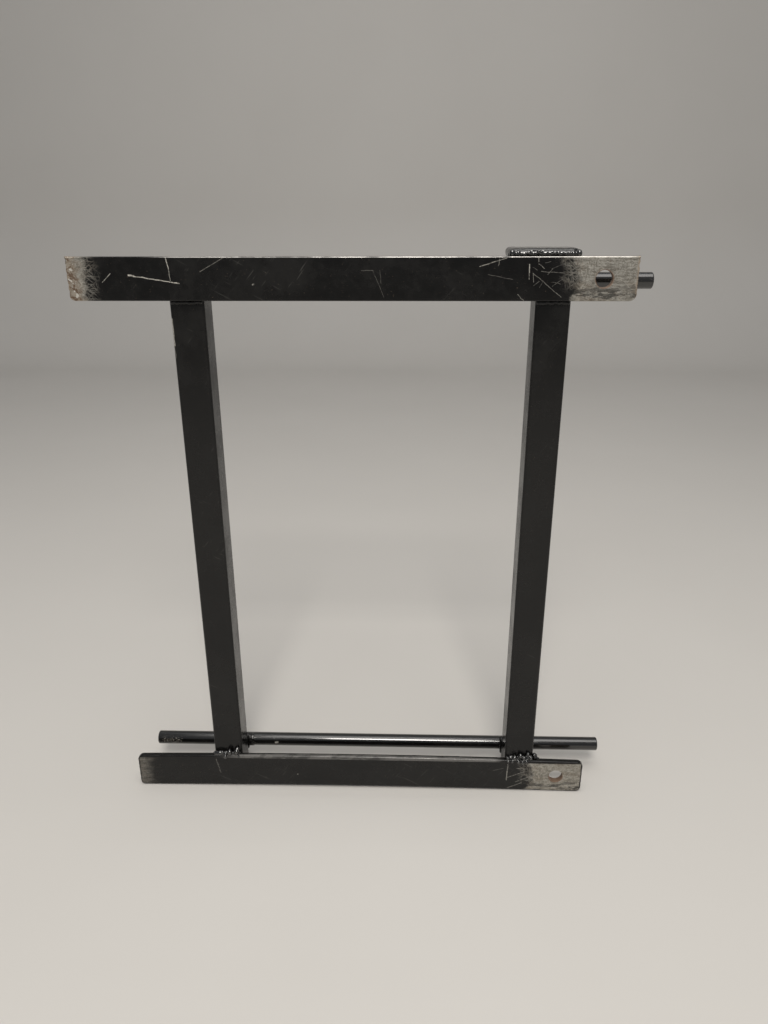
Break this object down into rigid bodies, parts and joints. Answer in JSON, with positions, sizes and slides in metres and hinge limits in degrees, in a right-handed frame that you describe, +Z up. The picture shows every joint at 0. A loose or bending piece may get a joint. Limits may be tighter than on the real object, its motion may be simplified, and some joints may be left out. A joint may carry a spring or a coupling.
{
  "type": "welded trestle side frame",
  "caption": "Black painted steel frame: flat bars across the front, square tubes behind them, round rods across the back, bolt holes at one end of the bars.",
  "frame": {"origin": "under the middle of the frame's bounding box, on the face that it stands on", "axes": "+X along the bars, towards the ends with the bolt holes; +Y from the flat bars' front faces towards the rods; +Z up along the tubes"},
  "size_m": [0.42, 0.043, 0.465],
  "materials": {
    "bar_enamel": "gloss black enamel, scratched, worn to bare brushed steel at the bolt ends",
    "tube_enamel": "gloss black enamel with orange peel and a few chips",
    "rod_enamel": "gloss black enamel, chipped near the ends",
    "plate_enamel": "gloss black enamel over grinding marks",
    "weld_enamel": "thick gloss black enamel over rippled weld metal"
  },
  "bodies": {
    "root": {"bottom_flat_bar": "bar_enamel", "top_flat_bar": "bar_enamel", "left_square_tube": "tube_enamel", "right_square_tube": "tube_enamel", "top_round_rod": "rod_enamel", "bottom_round_rod": "rod_enamel", "top_cap_plate": "plate_enamel", "bottom_left_front_weld": "weld_enamel", "bottom_right_front_weld": "weld_enamel", "top_left_front_weld": "weld_enamel", "top_right_front_weld": "weld_enamel", "bottom_left_outer_weld": "weld_enamel", "bottom_left_inner_weld": "weld_enamel", "bottom_right_outer_weld": "weld_enamel", "bottom_right_inner_weld": "weld_enamel", "top_left_outer_weld": "weld_enamel", "top_left_inner_weld": "weld_enamel", "top_right_outer_weld": "weld_enamel", "top_right_inner_weld": "weld_enamel", "bottom_left_rod_upper_weld": "weld_enamel", "bottom_left_rod_lower_weld": "weld_enamel", "bottom_right_rod_upper_weld": "weld_enamel", "bottom_right_rod_lower_weld": "weld_enamel", "top_left_rod_upper_weld": "weld_enamel", "top_left_rod_lower_weld": "weld_enamel", "top_right_rod_upper_weld": "weld_enamel", "top_right_rod_lower_weld": "weld_enamel", "cap_front_weld": "weld_enamel", "cap_inner_weld": "weld_enamel", "cap_outer_weld": "weld_enamel"}
  },
  "joints": []
}
